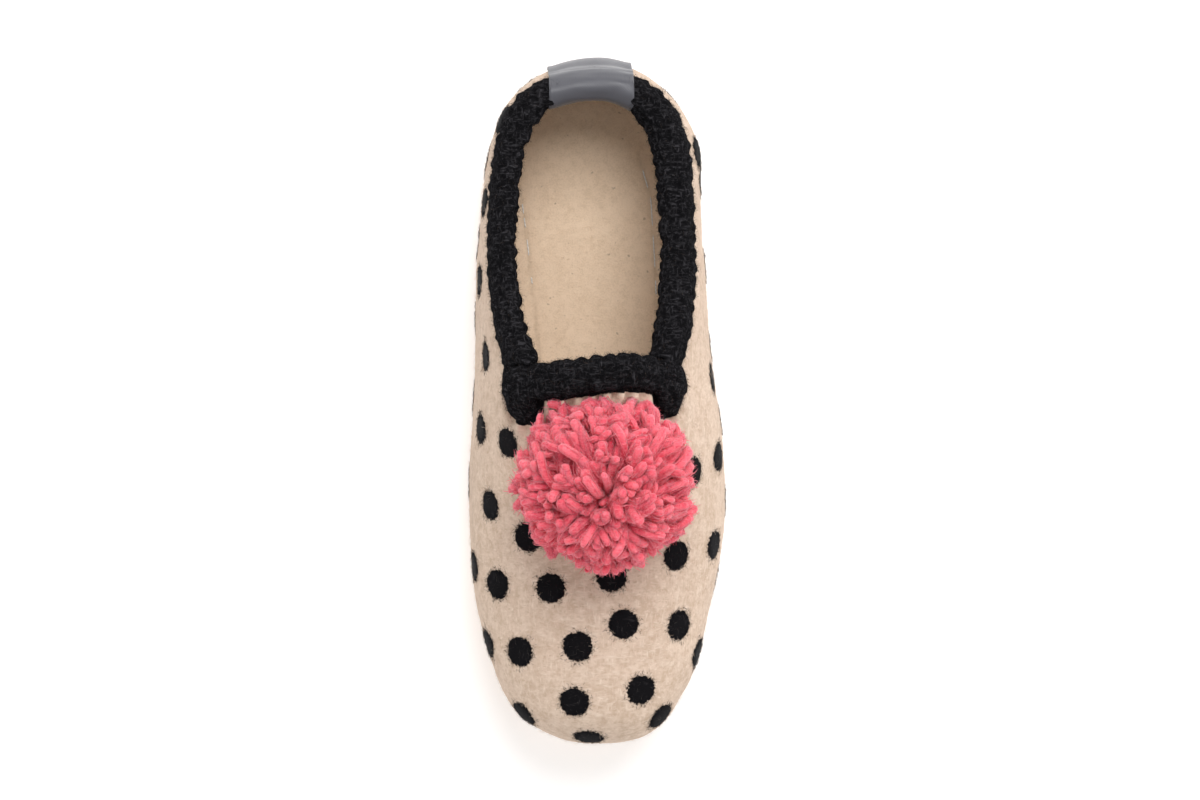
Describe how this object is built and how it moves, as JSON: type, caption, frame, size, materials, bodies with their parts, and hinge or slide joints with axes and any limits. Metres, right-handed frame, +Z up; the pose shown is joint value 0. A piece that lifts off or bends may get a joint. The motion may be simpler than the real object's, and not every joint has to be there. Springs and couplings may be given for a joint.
{
  "type": "loafer slipper",
  "caption": "Felted wool loafer slipper with crocheted edging, a yarn pompom on the vamp and a thin cupped sole",
  "frame": {"origin": "on the floor, under the middle of the slipper's bounding box", "axes": "+Z up, the heel points along +Y and the toe along -Y, +X is the outer side of the left foot"},
  "size_m": [0.0987, 0.2612, 0.1179],
  "materials": {
    "sole": "smooth tan split leather, satin",
    "felt": "thick cream wool felt with black felted dots",
    "footbed": "beige wool felt",
    "crochet": "black crocheted wool",
    "yarn": "pink wool yarn",
    "ribbon": "grey satin ribbon"
  },
  "bodies": {
    "root": {"outsole": "sole", "upper": "felt", "insole": "footbed", "collar_trim": "crochet", "throat_trim": "crochet", "pompom": "yarn", "heel_tag": "ribbon"}
  },
  "joints": []
}
